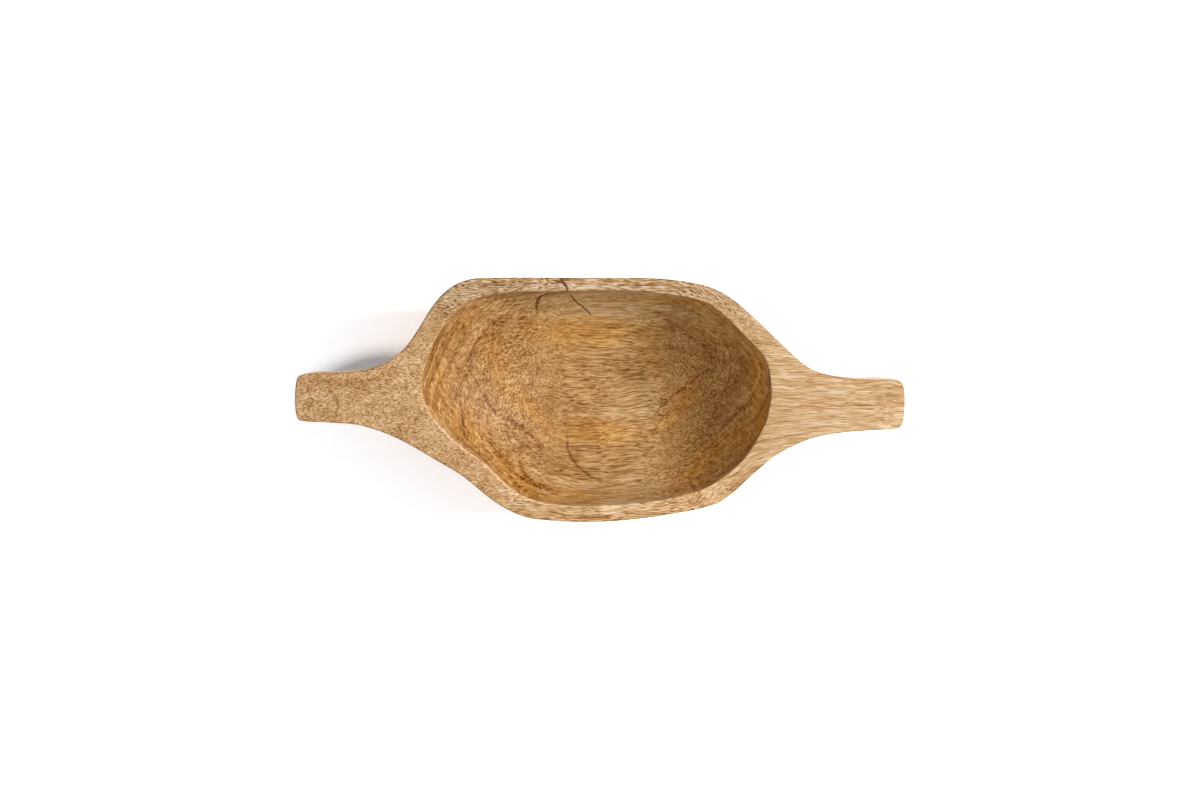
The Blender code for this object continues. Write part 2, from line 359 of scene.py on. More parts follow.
@dataclass(frozen=True)
class MangoWood:
    """Oiled mango wood: a solid of growth layers and pore lines that every cut surface shows in its own way."""

    stops: tuple[tuple[float, Colour], ...] = (
        (0.0, (0.100, 0.035, 0.006)),
        (0.25, (0.205, 0.088, 0.019)),
        (0.50, (0.385, 0.211, 0.077)),
        (0.70, (0.538, 0.345, 0.175)),
        (1.0, (0.790, 0.640, 0.460)),
    )
    gold_tint: Colour = (1.04, 0.93, 0.60)
    pale_tint: Colour = (0.965, 1.040, 1.165)
    vein_tint: Colour = (0.66, 0.45, 0.25)
    # painted shade on the north-facing outside of the left handle and neck
    north_flank_shade_tint: Colour = (0.80, 0.75, 0.75)
    rim_tint: Colour = (0.985, 0.930, 0.890)
    # darker and greyer along the north part of the rim
    north_rim_tint: Colour = (0.82, 0.85, 0.90)
    hollow_tint: Colour = (0.935, 0.885, 0.765)
    # painted shade: browner, more saturated wood over the right part of the hollow, where the right rim's shadow falls
    right_hollow_shade_tint: Colour = (0.905, 0.750, 0.500)
    gold: tuple[Patch, ...] = (
        Patch(-6, 46, 64, 19, 0, 1.1),
        Patch(-122, 18, 7, 46, 4, 0.45),
        Patch(-98, -22, 9, 36, 34, 0.6),
        Patch(-62, -62, 8, 36, 52, 0.9),
        Patch(-20, -76, 40, 5, -4, 0.7),
        Patch(-76, 22, 12, 30, 14, 0.7),
        Patch(-56, -16, 10, 36, 44, 1.0),
        Patch(-4, -30, 42, 12, 2, 1.1),
        Patch(54, -14, 9, 38, -46, 1.0),
        Patch(40, 18, 10, 30, 24, 0.5),
        Patch(88, -42, 8, 42, -48, 1.1),
        Patch(118, 4, 7, 46, 0, 0.9),
        Patch(50, 72, 44, 6, -5, 0.9),
        Patch(-98, 56, 7, 30, -34, 0.45),
    )
    dark: tuple[Patch, ...] = (
        Patch(-14, 20, 11, 6, 0, 0.9),
        Patch(22, 24, 4, 3, 0, 1.0),
        Patch(-98, -28, 5, 12, 25, 0.8),
        Patch(-60, -38, 4, 30, 52, 0.7),
        Patch(-52, -68, 22, 4, -28, 0.9),
        Patch(-64, 56, 5, 34, -56, 0.6),
        Patch(50, 46, 6, 20, -30, 0.7),
        Patch(60, 26, 12, 20, 0, 0.3),
        Patch(-74, 86, 16, 3, 0, 0.9),
        Patch(4, -87.5, 24, 3, 0, 0.9),
        Patch(-185, 14, 40, 4, 0, 0.6),
        Patch(18, -56, 14, 8, 20, 0.4),
    )
    veins: tuple[Vein, ...] = (
        Vein((-105, 2), (-103, -15), (-97, -30), 1.0, 0.8),
        Vein((-96, 13), (-86, -6), (-76, -20), 1.1, 0.9),
        Vein((-74, -20), (-58, -30), (-44, -44), 2.4, 0.9),
        Vein((-63, -50), (-46, -67), (-28, -74), 1.6, 0.8),
        Vein((-83, -33), (-70, -51), (-52, -67), 2.2, 0.6),
        Vein((-26, -32), (-17, -56), (6, -66), 1.5, 0.9),
        Vein((-58, 63), (-84, 48), (-98, 20), 1.1, 0.7),
        Vein((94, 38), (97, 9), (91, -4), 1.1, 0.7),
        Vein((82, 18), (62, 2), (36, -21), 1.6, 0.65),
        Vein((38, 63), (54, 48), (52, 32), 2.6, 0.6),
        Vein((124, -4.6), (174, -5.4), (221, -4.6), 0.8, 0.8),
        Vein((-197, 9), (-191, -3), (-195, -15), 1.4, 0.6),
        Vein((-217, 12), (-210, 2), (-209, -6), 1.2, 0.6),
        Vein((-10, 66), (10, 65.5), (26, 60), 0.8, 0.7),
    )

    slow_waver: float = 70.0
    quick_waver: float = 7.0
    cloud_size: float = 26.0
    line_pitch: tuple[float, float] = (0.055, 1.05)
    dash_pitch: tuple[float, float] = (0.14, 1.35)
    streak_pitch: tuple[float, float] = (0.014, 0.17)
    round_pitch: tuple[float, float] = (30.0, 1.6)
    base_tone: float = 0.61
    base_rough: float = 0.58
    bump: tuple[float, float] = (0.35, 0.00022)

    def ground(self, board: Board) -> Ground:
        """Reads a place on the wood.

        Args:
            board: the node tree it is read in.

        Returns:
            What the other steps share.
        """
        place = board.node("ShaderNodeTexCoord", {}, {}, "Object")
        scaled = board.node("ShaderNodeVectorMath", {"operation": "SCALE"}, {0: place, "Scale": 1 / MM})
        x, y, z = board.parts(scaled)
        normal = board.parts(board.node("ShaderNodeNewGeometry", {}, {}, "Normal"))
        lip, edge = (board.node("ShaderNodeAttribute", {"attribute_name": name}, {}, "Fac") for name in ("lip", "edge"))
        slow = board.noise(scaled, 1 / self.slow_waver, 2.0, 0.5, colour=True)
        quick = board.noise(scaled, 1 / self.quick_waver, 1.0, 0.5, colour=True)
        upper = z.step(13.0, 15.0)
        return Ground(
            board, scaled, (x, y, z), normal, lip, edge,
            tuple(part - 0.5 for part in board.parts(slow)), tuple(part - 0.5 for part in board.parts(quick)),
            upper, lip.step(0.8, -0.8) * upper,
        )  # fmt: skip

    def fibres(self, at: Ground) -> tuple[Value, Value]:
        """How far the fibres have climbed or dived at this x, and how they draw together towards the right handle.

        Args:
            at: the place.

        Returns:
            The y and z, in mm, that the fibre through the place has in the middle of the billet.
        """
        (x, y, z), (_, wy, wz) = at.place, at.slow
        left = ((x * -1.0 - 25.0).math("MAXIMUM", 0.0) / 200.0).power(1.6) * 60.0
        right = x.step(40.0, 125.0) * 14.0
        return y * (1.0 + x.step(45.0, 160.0) * 0.8) + wy * 14.0, z + left + right + wz * 18.0

    def flecks(self, at: Ground, fibre_z: Value) -> Value:
        """The short curled flecks of fibres that dive into the surface, and the grain that runs round the hollow.

        Args:
            at: the place.
            fibre_z: its fibre's height.

        Returns:
            A number around 0.5. The grain round the hollow is worked out in polar measure, along the contours.
        """
        (x, y, _), (wx, wy, _), (vx, vy, vz) = at.place, at.slow, at.quick
        curl_y, curl_z = y + vy * 2.0 + wy * 14.0, fibre_z + vz * 2.0
        curled = at.board.vector(x * 0.42 + vx * 0.8, curl_y * 1.4, curl_z * 0.7)
        grains = at.board.noise(curled, 1.0, 1.0, 0.5)
        turns, rises = self.round_pitch
        reach = ((x * x) * 0.42 + y * y).power(0.5) + 4.0
        turn_x, turn_y = x * 0.65 / reach * turns, y / reach * turns
        polar = at.board.vector(turn_x, turn_y, reach * rises + wx * 34.0 + vx * 3.0)
        round_grain = at.board.noise(polar, 1.0, 1.0, 0.5)
        rounded = at.inside * (x + wy * 30.0).hump(2.0, 60.0).step(0.5, 0.1) * 0.75
        return grains + (round_grain - grains) * (rounded + (vy * 2.0)).step(0.30, 0.60)

    def drawn(self, at: Ground, pitch: tuple[float, float], fibre: tuple[Value, Value], *finer: float) -> Value:
        """Noise drawn out along the fibres.

        Args:
            at: the place.
            pitch: the noise's frequencies per mm, along the fibres and across them.
            fibre: the y and z of the place's fibre.
            finer: the noise's detail and roughness.

        Returns:
            A number around 0.5.
        """
        along, across = pitch
        place = at.board.vector(at.place[0] * along, fibre[0] * across, fibre[1] * across)
        return at.board.noise(place, 1.0, *finer)

    def figure(self, at: Ground) -> Figure:
        """Draws the wood's figure.

        Fibres that run with the surface show as long lines, and those that dive into it as short curled flecks. The
        growth layers show as rings and bands on the hollow's ends, where the cut crosses them.

        Args:
            at: the place.

        Returns:
            The marks, each in its own measure.
        """
        board, (x, y, z), (wx, wy, _), (vx, vy, vz) = at.board, at.place, at.slow, at.quick
        fibre_y, fibre_z = self.fibres(at)
        layer = (82.0 - fibre_z) + wx * 10.0
        middle = (x + wy * 80.0 + vx * 16.0).hump(4.0, 84.0).step(0.08, 0.82) * 0.88
        far_left = (x + y * 0.35 + wy * 16.0).step(-88.0, -112.0)
        short = far_left.math("MAXIMUM", at.inside * (1.0 - middle)) * at.upper
        outside = 1.0 - at.inside
        bend = fibre_y + vy * 0.9, fibre_z + vz * 0.9
        lines = self.drawn(at, self.line_pitch, bend, 1.0, 0.5)
        dashes = self.drawn(at, self.dash_pitch, bend, 1.0, 0.5)
        flecks = self.flecks(at, fibre_z)
        spread = at.inside * 0.20 + x.step(70.0, 130.0) * outside * 0.35
        long_grain = lines.step(0.38, 0.62) * (0.40 + spread) + dashes.step(0.36, 0.64) * (0.60 - spread)
        curled = flecks.step(0.36, 0.64)
        ends = at.normal[0].math("ABSOLUTE").step(0.25, 0.95) * at.inside
        curled_share = short * (0.66 + at.inside * 0.16 - ends * 0.56)
        long_pores = (lines + (dashes - lines) * outside * 0.6).step(0.58, 0.70)
        slant = x * y.step(-60.0, 60.0) * 0.12
        return Figure(
            outside=outside,
            ends=ends,
            curled=curled,
            grain=(long_grain - 0.5) * (1.0 - short) + (curled - 0.5) * curled_share,
            deep=long_pores * (1.0 - short) + flecks.step(0.62, 0.74) * short * 0.4,
            streaks=self.drawn(at, self.streak_pitch, (fibre_y, fibre_z), 3.0, 0.6),
            rings=board.noise(board.vector(layer * 0.30 + slant, x * 0.012, y * 0.012), 1.0, 3.0, 0.65),
            bands=board.noise(board.vector(layer * 0.9 + vx * 2.0 - slant * 3.0, x * 0.03, y * 0.03), 1.0, 2.0, 0.6),
            scrapes=board.noise(board.vector((x + y * 0.8) * 0.9, (x * -0.8 + y) * 0.05, z * 0.05), 1.0, 2.0, 0.6),
            clouds=board.noise(at.scaled, 1 / self.cloud_size, 2.0, 0.55),
        )

    def stains(self, at: Ground, marks: Figure) -> tuple[Value, Value, Value]:
        """The wood's stains, their outlines made uneven by the noises.

        Args:
            at: the place.
            marks: the wood's figure there.

        Returns:
            The covers of the golden patches, the dark patches and the veins.
        """
        (x, y, _), (wx, wy, _), (vx, vy, _) = at.place, at.slow, at.quick
        stain_x, stain_y = x + wy * 22.0 + (marks.clouds - 0.5) * 16.0, y + wx * 22.0 + (marks.streaks - 0.5) * 16.0
        gold = strongest(self.gold, stain_x, stain_y) * at.inside
        topside = at.upper * at.normal[2].step(-0.05, 0.15)
        dark = strongest(self.dark, x + wy * 12.0 + vx * 5.0, y + wx * 12.0 + vy * 5.0) * topside
        vein = strongest(self.veins, x + vx * 4.0 + wy * 8.0, y + vy * 4.0 + wx * 8.0) * topside
        return gold, dark, vein * (0.8 + marks.curled * 0.4)

    def tone(self, at: Ground, marks: Figure, dark: Value, vein: Value, flank: Value) -> Value:
        """How light the wood is.

        Args:
            at: the place.
            marks: the wood's figure there.
            dark: the cover of the dark patches.
            vein: the cover of the veins.
            flank: how far the place is on the steep outside wall.

        Returns:
            The place on the colour ramp: figure and stains first, then how each part of the bowl differs.
        """
        (x, y, _), (_, ny, _) = at.place, at.normal
        outside, ends, inside = marks.outside, marks.ends, at.inside
        grain_share = 0.06 + y.step(60.0, 80.0) * 0.16 - x.step(80.0, 130.0) * 0.22
        back_left = y.step(10.0, 50.0) * x.step(-30.0, -70.0)
        front_left = y.hump(-50.0, 20.0) * x.step(50.0, 10.0)
        return (
            self.base_tone
            + (marks.streaks - 0.5) * (0.60 - outside * 0.15 + flank * 0.55)
            + (marks.rings - 0.5) * (0.35 + ends * 0.9)
            + (marks.bands - 0.5) * (ends * 0.8)
            + (marks.scrapes - 0.5) * (ends * 0.6)
            + (marks.clouds - 0.5) * 0.15
            - marks.grain * (0.50 + outside * grain_share - flank * 0.30)
            - marks.deep * 0.19
            - dark * (0.20 - inside * 0.07)
            - vein * 0.10
            - inside * (x.step(60.0, -60.0) * 0.11 + x.step(-60.0, -100.0) * 0.04)
            - inside * (back_left * 0.10 + front_left * 0.09)
            # painted shade: slightly darker from the middle of the hollow towards its right wall
            - inside * x.step(20.0, 60.0) * 0.03
            # painted light: the hollow's long walls lightened by the way they face, the north wall more than the south
            + inside * (ny.step(0.2, 0.9) * 0.07 + ny.step(-0.2, -0.9) * 0.15)
            # painted highlight along the hollow's inner edge at the front left, and painted shade along it at the back
            # left
            + at.lip.hump(0.5, 1.2) * x.step(70.0, -20.0) * (y.step(15.0, -15.0) * 0.20 - 0.06)
            # painted shade: a thin dark line just inside the rim's outer edge
            - at.edge.hump(0.2, 1.2) * 0.18
        )

    def build(self) -> bpy.types.Material:
        """Lays out the nodes.

        Returns:
            The material.
        """
        board = Board(Slot.WOOD.value)
        at = self.ground(board)
        (x, y, _), (_, ny, nz), (wx, wy, _) = at.place, at.normal, at.slow
        marks = self.figure(at)
        gold, dark, vein = self.stains(at, marks)
        outside, inside = marks.outside, at.inside
        flank = outside * nz.step(0.6, 0.1)
        tone = self.tone(at, marks, dark, vein, flank)
        colour = board.node("ShaderNodeValToRGB", {"stops": self.stops}, {0: tone.clipped()})
        for share, tint in (
            (outside, self.rim_tint),
            (outside * x.step(70.0, 130.0), self.pale_tint),
            # darker and greyer along the north part of the rim
            (outside * (y + wx * 16.0).step(40.0, 80.0) * nz.step(0.0, 0.5), self.north_rim_tint),
            (inside, self.hollow_tint),
            # painted shade: browner, more saturated wood over the right part of the hollow
            (inside * (x + wy * 30.0).step(25.0, 80.0), self.right_hollow_shade_tint),
            ((gold * (1.1 + (marks.rings - 0.5) * 1.6)).clipped(), self.gold_tint),
            # painted shade on the north-facing outside of the left handle and neck
            (flank * ny.step(0.1, 0.8) * x.step(-60.0, -140.0), self.north_flank_shade_tint),
            (vein.clipped(), self.vein_tint),
        ):
            colour = board.blend(share, colour, board.blend(1.0, colour, tint, "MULTIPLY"))
        rough = self.base_rough + marks.deep * 0.16 - gold * 0.06
        strength, distance = self.bump
        height = (marks.grain + marks.deep) * -0.5
        bump = board.node("ShaderNodeBump", {}, {"Strength": strength, "Distance": distance, "Height": height})
        return board.finish(
            {"Base Color": colour, "Roughness": rough, "Normal": bump},
            {"Specular IOR Level": 0.24, "Metallic": 0.0},
        )


@dataclass(frozen=True)
class CrackPaste:
    """Set resin and sawdust: nearly black brown, with paler grains of dust."""

    paste: Colour = (0.120, 0.048, 0.013)
    dust: Colour = (0.270, 0.130, 0.045)
    grain_pitch: float = 1400.0
    blot_pitch: float = 260.0

    def build(self) -> bpy.types.Material:
        """Lays out the nodes.

        Returns:
            The material.
        """
        board = Board(Slot.PASTE.value)
        place = board.node("ShaderNodeTexCoord", {}, {}, "Object")
        grains = board.noise(place, self.grain_pitch, 2.0, 0.6)
        blots = board.noise(place, self.blot_pitch, 2.0, 0.6)
        share = (grains.step(0.55, 0.72) * 0.7 + blots.step(0.5, 0.7) * 0.5).clipped()
        colour = board.blend(share, self.paste, self.dust)
        bump = board.node("ShaderNodeBump", {}, {"Strength": 0.5, "Distance": 0.0002, "Height": grains})
        return board.finish(
            {"Base Color": colour, "Roughness": 0.6 + grains * 0.3, "Normal": bump}, {"Specular IOR Level": 0.12}
        )


# ---------------------------------------------------------------- shapes


@dataclass(frozen=True)
class Plan:
    """A closed outline seen from above: a Catmull-Rom curve through points in mm, met once by a ray from its middle."""

    points: tuple[tuple[float, float], ...]
    steps: int = 32

    def curve(self) -> np.ndarray:
        """Points along the curve: on each span, the cubic through its ends with its neighbours' chord slopes."""
        p = np.array(self.points, float) * MM
        before, after, beyond = np.roll(p, 1, 0), np.roll(p, -1, 0), np.roll(p, -2, 0)
        t = (np.arange(self.steps) / self.steps)[None, :, None]
        a, b, c, d = before[:, None], p[:, None], after[:, None], beyond[:, None]
        bend = 2 * b + (c - a) * t + (2 * a - 5 * b + 4 * c - d) * t**2 + (3 * b - a - 3 * c + d) * t**3
        return (bend / 2).reshape(-1, 2)

    def reach(self, angles: np.ndarray) -> np.ndarray:
        """The curve's distance from the middle at the given polar angles."""
        curve = self.curve()
        turn = np.arctan2(curve[:, 1], curve[:, 0]) % (2 * math.pi)
        order = np.argsort(turn)
        return np.interp(angles % (2 * math.pi), turn[order], np.hypot(*curve[order].T), period=2 * math.pi)

    def at(self, angles: np.ndarray) -> np.ndarray:
        """The curve's points at the given polar angles."""
        reach = self.reach(angles)
        return np.column_stack([reach * np.cos(angles), reach * np.sin(angles)])

    def spread(self, count: int, pull: float) -> np.ndarray:
        """Polar angles of points along the curve, closer together where it bends.

        Args:
            count: how many.
            pull: the length in metres that one radian of bend counts for.

        Returns:
            The angles, rising all the way round.
        """
        curve = self.curve()
        ends = np.vstack([curve, curve[:1]])
        step = np.diff(ends, axis=0)
        heading = np.arctan2(step[:, 1], step[:, 0])
        turn = np.abs((np.roll(heading, -1) - heading + math.pi) % (2 * math.pi) - math.pi)
        run = np.concatenate([[0], np.cumsum(np.linalg.norm(step, axis=1) + pull * (turn + np.roll(turn, 1)) / 2)])
        at = np.linspace(0, run[-1], count, endpoint=False)
        return np.unwrap(np.arctan2(*(np.interp(at, run, ends[:, axis]) for axis in (1, 0))))


def outward(ring: np.ndarray) -> np.ndarray:
    """Unit normals, in plan, of a closed anticlockwise ring."""
    along = np.roll(ring, -1, 0) - np.roll(ring, 1, 0)
    normal = np.column_stack([along[:, 1], -along[:, 0]])
    return normal / np.linalg.norm(normal, axis=1)[:, None]


def raised(ring: np.ndarray, height: np.ndarray | float) -> np.ndarray:
    """A plan ring lifted to a height."""
    return np.column_stack([ring, np.broadcast_to(height, len(ring))])


def dressed(
    name: str, node: Node, material: bpy.types.Material, points: np.ndarray, faces: list
) -> bpy.types.Object:
    """Puts a finished surface into the scene in place of its CAD node.

    Args:
        name: the piece's name.
        node: the CAD node it stands for.
        material: its finish.
        points: (n, 3) places in metres.
        faces: tuples of point numbers.

    Returns:
        The piece.
    """
    mesh = bpy.data.meshes.new(name)
    mesh.from_pydata(points.tolist(), [], faces)
    mesh.validate()
    mesh.shade_smooth()
    mesh.materials.append(material)
    piece = bpy.data.objects.new(name, mesh)
    bpy.context.scene.collection.objects.link(piece)
    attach(piece, "root")
    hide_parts(node.value)
    return piece


@dataclass
class CarvedBowl:
    """The billet: hollow, rim, handles, wall and foot as one skin over rings that all share the same polar angles."""

    rim_plan: Plan = Plan((
        (222.6, -3), (222.0, 8), (219.2, 13.6), (212, 15.2), (190, 15.2), (171, 17.4), (158, 21.0),
        (146, 28.2), (128, 45.2), (102, 69.2), (84, 80.8), (62, 86.5), (35, 88.8), (-20, 89.2), (-74, 89.3),
        (-94, 88.0), (-108, 82.3), (-120, 70.6), (-134, 48.8), (-144, 36.0), (-158, 26.4), (-174, 21.6),
        (-196, 19.6), (-214, 19.0), (-220.2, 16.6), (-222.2, 8), (-222.6, -3), (-221.2, -13), (-216, -15.8),
        (-196, -16.9), (-174, -19.2), (-148, -28.6), (-120, -44.6), (-100, -57.0), (-78, -75.0), (-58, -85.8),
        (-38, -89.3), (-8, -90.6), (24, -88.8), (59, -83.6), (80, -78.8), (94, -72.0), (116, -51.8),
        (132, -39.2), (154, -29.0), (178, -24.2), (212, -21.8), (219.4, -20.0), (222.0, -14),
    ))  # fmt: skip
    hollow_plan: Plan = Plan((
        (124.8, 8), (121, 28), (108.5, 43.4), (84, 66.6), (62, 75.2), (20, 79.6), (-28, 79.2), (-62, 78.6),
        (-86, 75.2), (-104, 64.4), (-119.5, 43.8), (-128, 21.8), (-129.8, 8), (-124.5, -8.8), (-107, -29.6),
        (-86, -45.6), (-66, -64.8), (-50, -73.8), (-28, -78), (2, -78.2), (38, -75), (62, -70), (82, -62.4),
        (105, -43.8), (120, -18.6), (123.6, -5),
    ))  # fmt: skip
    wall_plan: Plan = Plan((
        (142, -4), (140, 16), (130, 40), (102, 69.2), (84, 80.8), (62, 86.5), (35, 88.8), (-20, 89.2),
        (-74, 89.3), (-94, 88.0), (-108, 82.3), (-120, 70.6), (-133, 46), (-143, 22), (-145, 2), (-137, -20),
        (-120, -40), (-100, -56.6), (-78, -75.0), (-58, -85.8), (-38, -89.3), (-8, -90.6), (24, -88.8),
        (59, -83.6), (80, -78.8), (94, -72.0), (114, -53), (133, -28),
    ))  # fmt: skip
    height: float = 0.082
    hollow_depth: float = 0.066
    handle_thickness: float = 0.022
    root_drop: float = 0.015
    root_reach: float = 0.026
    foot: tuple[float, float] = (0.074, 0.046)
    oval: tuple[float, float] = (0.126, 0.079)
    inner_ease: tuple[float, float] = (0.0008, 0.0018)
    worn_side: float = 205.0
    outer_ease: float = 0.0012
    grip_ease: float = 0.0035
    foot_ease: float = 0.003
    hollow_power: float = 2.1
    wall_belly: float = 1.7
    wall_turn: float = 0.8
    wall_reach: float = 1.03
    columns: int = 640
    facets: float = 0.00022
    clear: float = 5.0
    angles: np.ndarray = field(init=False)

    def __post_init__(self) -> None:
        """Spreads the columns round the outline."""
        self.angles = self.rim_plan.spread(self.columns, 0.03)

    def oval_at(self, half: tuple[float, float], angles: np.ndarray) -> np.ndarray:
        """An ellipse's points at the given polar angles."""
        reach = 1 / np.hypot(np.cos(angles) / half[0], np.sin(angles) / half[1])
        return np.column_stack([reach * np.cos(angles), reach * np.sin(angles)])

    def hollow_ring(self, angles: np.ndarray, depth: np.ndarray | float) -> np.ndarray:
        """The hollow's section at a depth: its plan, blended to an oval by depth and drawn in along a superellipse."""
        sunk = np.clip(np.broadcast_to(depth, len(angles)) / self.hollow_depth, 0, 1)[:, None]
        share = (1 - sunk**self.hollow_power) ** (1 / self.hollow_power)
        plan = self.hollow_plan.at(angles)
        return (plan + (self.oval_at(self.oval, angles) - plan) * sunk**2 * (3 - 2 * sunk)) * share

    def ease_at(self, angles: np.ndarray) -> np.ndarray:
        """The inner edge's ease: widest towards the front left, where hands have worn it, and least opposite."""
        worn = 0.5 + 0.5 * np.cos(angles - math.radians(self.worn_side))
        return self.inner_ease[0] + (self.inner_ease[1] - self.inner_ease[0]) * worn**1.5

    def hollow_rings(self) -> list[np.ndarray]:
        """From near the middle of the floor up and over the eased inner edge, a quarter circle."""
        rings, ease, plan = [], self.ease_at(self.angles), self.hollow_plan.at(self.angles)
        normal = outward(plan)
        for turn in np.linspace(0.02, 0.5 * math.pi, 58):
            depth = np.maximum(self.hollow_depth * max(math.cos(turn), 0) ** (2 / self.hollow_power), ease)
            rings.append((self.hollow_ring(self.angles, depth), self.height - depth))
        for turn in np.radians((15, 33, 51, 70, 90)):
            out, up = 1 - math.cos(turn), math.sin(turn)
            rings.append((plan + normal * (ease * out)[:, None], self.height - ease * (1 - up)))
        return [raised(ring, height) for ring, height in rings]

    def outside_rings(self) -> list[np.ndarray]:
        """From the flat of the rim over its outer edge, in under the handles, down the wall and over the foot.

        The wall's section is foot + (wall plan - foot) * (1 - depth^belly)^turn. The handles' overhang is added to it,
        then taken away ring by ring while the depth grows by 0.1 of the share plus 0.9 of the sweep near the wall.
        """
        rim, wall = self.rim_plan.at(self.angles), self.wall_plan.at(self.angles)
        foot = self.oval_at(self.foot, self.angles)
        inner = self.hollow_plan.at(self.angles)
        inner = inner + outward(inner) * self.ease_at(self.angles)[:, None]
        normal, overhang = outward(rim), rim - wall
        reach = np.linalg.norm(overhang, axis=1)
        edge = self.handle_thickness + 0.6 * self.root_drop * (1 - np.clip(reach / self.root_reach, 0, 1)) ** 2
        root = self.handle_thickness + self.root_drop
        grip = np.clip(reach / (3 * self.grip_ease), 0, 1)

        def section(depth: np.ndarray, stand: float) -> np.ndarray:
            """The wall's ring at a depth, with a share of the handles' overhang."""
            share = (1 - (depth / (self.height * self.wall_reach)) ** self.wall_belly) ** self.wall_turn
            return foot + (wall - foot) * share[:, None] + overhang * stand

        outer = rim - normal * self.outer_ease
        rings = [raised(inner + (outer - inner) * share, self.height) for share in np.linspace(0, 1, 14)[1:]]
        for turn in np.radians((20, 40, 60, 80)):
            out, down = math.sin(turn), 1 - math.cos(turn)
            rings.append(raised(outer + normal * self.outer_ease * out, self.height - self.outer_ease * down))
        for share in np.linspace(0, 1, 9):
            depth = self.outer_ease + (edge - self.grip_ease - self.outer_ease) * share
            rings.append(raised(section(depth, 1.0), self.height - depth))
        for turn in np.radians((15, 32, 50, 68, 84)):
            depth = edge - self.grip_ease * (1 - math.sin(turn))
            ring = section(depth, 1.0) - normal * (grip * self.grip_ease * (1 - math.cos(turn)))[:, None]
            rings.append(raised(ring, self.height - depth))
        eased = rings[-1][:, :2] - section(edge, 1.0)
        for share in np.linspace(0, 1, 19)[1:]:
            swept = np.clip(1 - (1 - share) * np.maximum(1, reach / self.root_reach), 0, 1)
            depth = edge + (root - edge) * (0.1 * share + 0.9 * swept**1.8)
            rings.append(raised(section(depth, 1 - share) + eased * (1 - share), self.height - depth))
        for depth in np.linspace(root, self.height - self.foot_ease, 16)[1:]:
            rings.append(raised(section(np.full(len(rim), depth), 0.0), self.height - depth))
        sole = rings[-1][:, :2]
        for inset, height in ((0.3, 0.7), (0.65, 0.4), (1.05, 0.17), (1.5, 0.04), (2.1, 0.0)):
            rings.append(raised(sole - outward(sole) * self.foot_ease * inset, self.foot_ease * height))
        last = rings[-1]
        rings += [last * (share, share, 1) for share in (0.85, 0.6, 0.3)]
        return rings

    def hand(self, points: np.ndarray) -> np.ndarray:
        """How far the carver's hand left each point proud or shy: a few crossed sine waves, long against deep."""
        x, y, z = (points / MM).T if points.ndim == 2 else np.moveaxis(points / MM, -1, 0)
        waves = (
            np.sin(x / 7.1 + 1.3 * np.sin(y / 17.0) + 0.7) * np.sin(y / 6.3 + 0.9 * np.sin(x / 23.0) + z / 9.0)
            + 0.8 * np.sin(x / 12.7 - y / 15.1 + 2.1) * np.cos(z / 8.0 + x / 31.0)
            + 0.6 * np.sin(y / 10.9 + x / 19.0 + 4.0)
        )
        return self.facets * waves

    def build(self, wood: bpy.types.Material) -> bpy.types.Object:
        """Makes the piece.

        Args:
            wood: its finish.

        Returns:
            The bowl.
        """
        hollow, outside = self.hollow_rings(), self.outside_rings()
        grid = np.stack(hollow + outside)
        along = np.roll(grid, -1, 1) - np.roll(grid, 1, 1)
        down = np.gradient(grid, axis=0)
        normal = np.cross(down, along)
        normal /= np.maximum(np.linalg.norm(normal, axis=2), 1e-12)[..., None]
        depth = (self.height - grid[..., 2]) / MM
        free = np.clip(depth / 6, 0.12, 1) * np.clip(grid[..., 2] / 0.006, 0, 1)
        grid = grid + normal * (self.hand(grid) * free)[..., None]
        rows, columns = grid.shape[:2]
        middle = np.array([[0, 0, grid[0, :, 2].mean()], [0, 0, 0.0]])
        points = np.vstack([grid.reshape(-1, 3), middle])
        at = np.arange(rows * columns).reshape(rows, columns)
        beside = np.roll(at, -1, 1)
        quads = np.stack([at[:-1], at[1:], beside[1:], beside[:-1]], -1).reshape(-1, 4)
        floor = np.stack([at[0], beside[0], np.full(columns, len(points) - 2)], -1)
        sole = np.stack([at[-1], np.full(columns, len(points) - 1), beside[-1]], -1)
        piece = dressed("bowl", Node.BOWL, wood, points, quads.tolist() + floor.tolist() + sole.tolist())
        outer = (np.arange(len(points)) >= len(hollow) * columns) & (points[:, 2] < self.height - 0.003)
        outer[-2] = False  # the middle of the hollow's floor comes last but one, after the outside's points
        self.mark(piece, points, outer)
        return piece

    def mark(self, piece: bpy.types.Object, points: np.ndarray, outer: np.ndarray) -> None:
        """Writes how far each point is, in mm and in plan, outside the hollow's edge and inside the outer edge.

        Args:
            piece: the bowl.
            points: its points.
            outer: which of them are on the outside wall, and so never in the hollow.
        """
        angles, reach = np.arctan2(points[:, 1], points[:, 0]), np.hypot(points[:, 0], points[:, 1])
        around = np.linspace(-math.pi, math.pi, 1441)
        for name, plan, sign in (("lip", self.hollow_plan, 1), ("edge", self.rim_plan, -1)):
            ring = plan.at(around)
            facing = np.abs((outward(ring) * ring).sum(1)) / np.linalg.norm(ring, axis=1)
            distance = (reach - plan.reach(angles)) * np.interp(angles, around, facing) * sign / MM
            distance = np.where(outer, np.maximum(distance, self.clear), distance)
            layer = piece.data.attributes.new(name, "FLOAT", "POINT")
            layer.data.foreach_set("value", distance.astype(np.float32))


